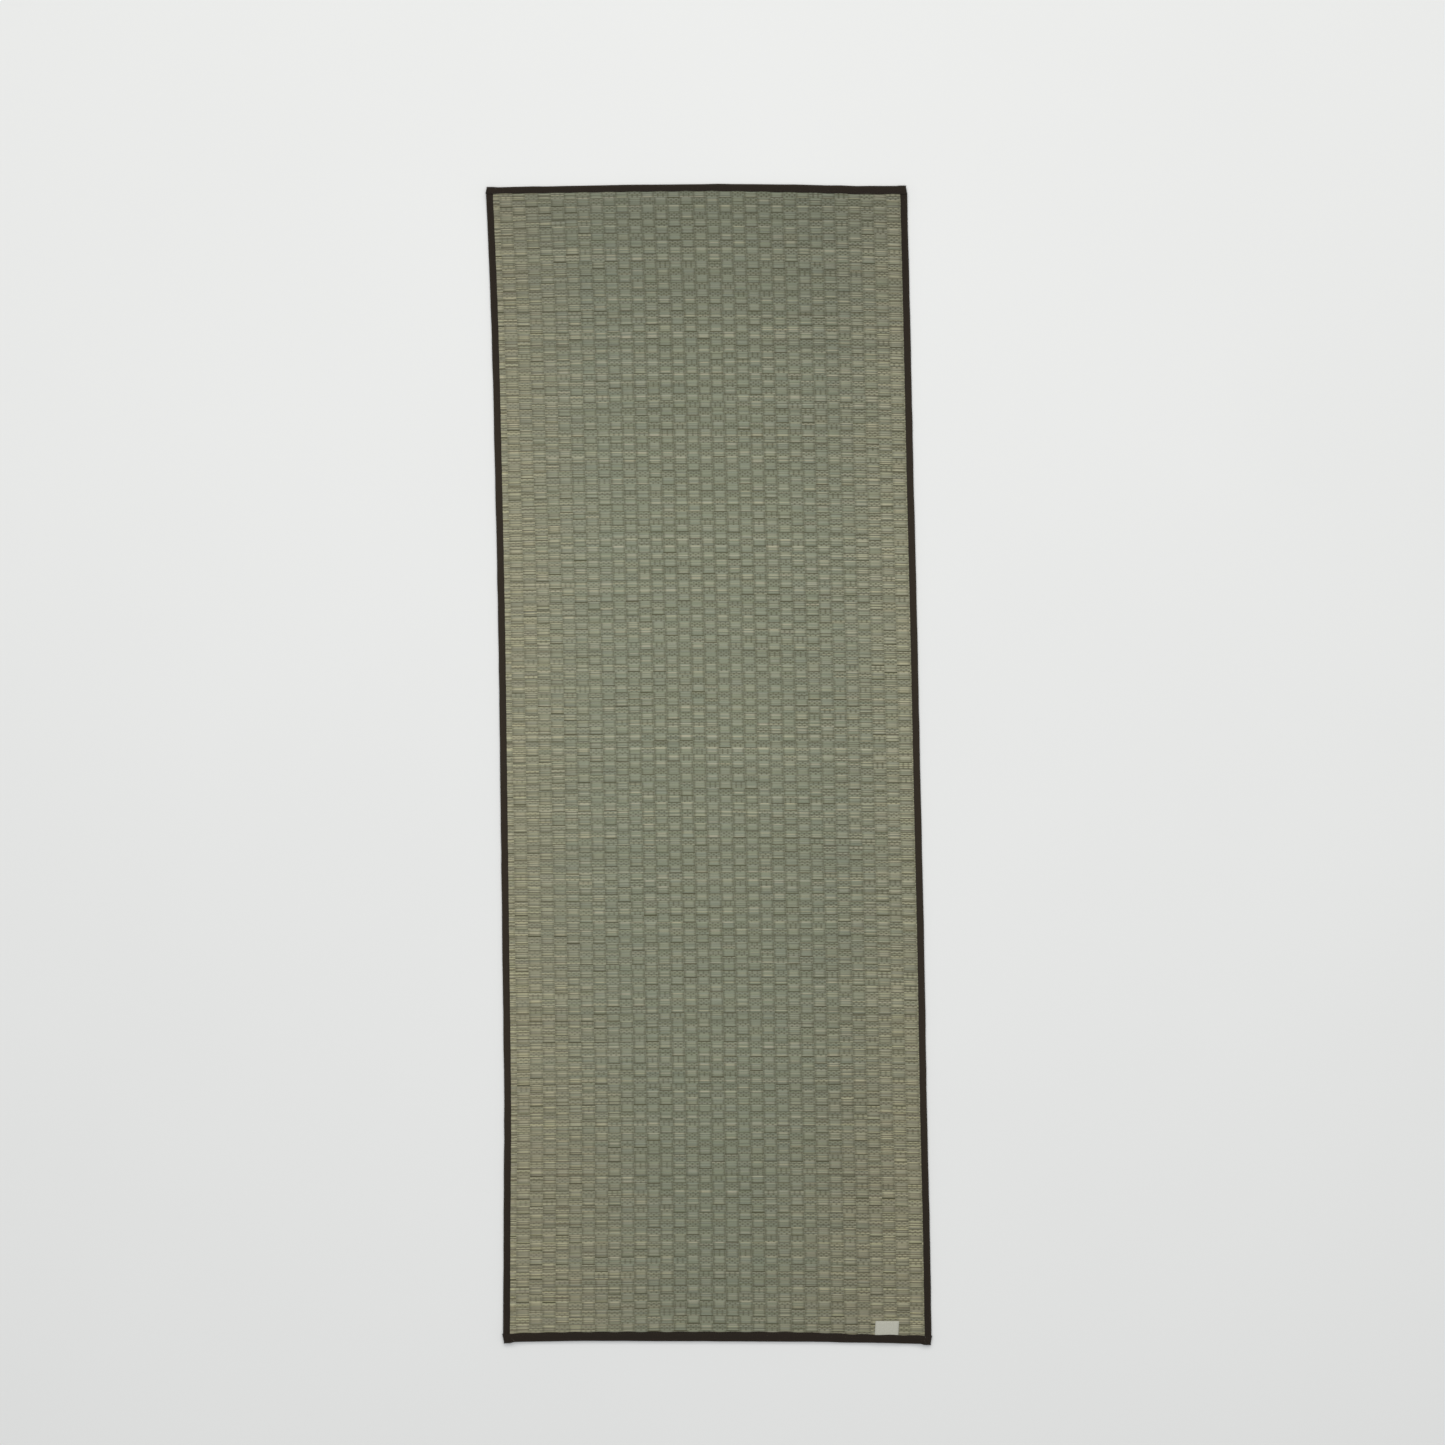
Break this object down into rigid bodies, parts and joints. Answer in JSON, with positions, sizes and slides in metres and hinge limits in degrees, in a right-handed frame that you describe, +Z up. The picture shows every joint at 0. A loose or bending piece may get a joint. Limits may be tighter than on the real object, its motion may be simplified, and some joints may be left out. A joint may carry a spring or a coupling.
{
  "type": "woven rush yoga mat",
  "caption": "Flat woven rush yoga mat in a checkered weave, its four edges bound with folded dark cloth tape, with a small plain label near one corner.",
  "frame": {"origin": "on the floor, under the middle of the mat's bounding box", "axes": "+Y along the mat's length, away from the end with the label; +X across the mat, towards the long edge nearest the label; +Z up"},
  "size_m": [0.6944, 1.8058, 0.0072],
  "materials": {
    "woven_rush": "dry woven rush, grey-green with straw-coloured ends",
    "cotton_tape": "matt dark brown cotton tape",
    "label_cotton": "plain unbleached cotton"
  },
  "bodies": {
    "root": {"rush_mat": "woven_rush", "binding_left": "cotton_tape", "binding_right": "cotton_tape", "binding_far": "cotton_tape", "binding_near": "cotton_tape", "label": "label_cotton"}
  },
  "joints": []
}
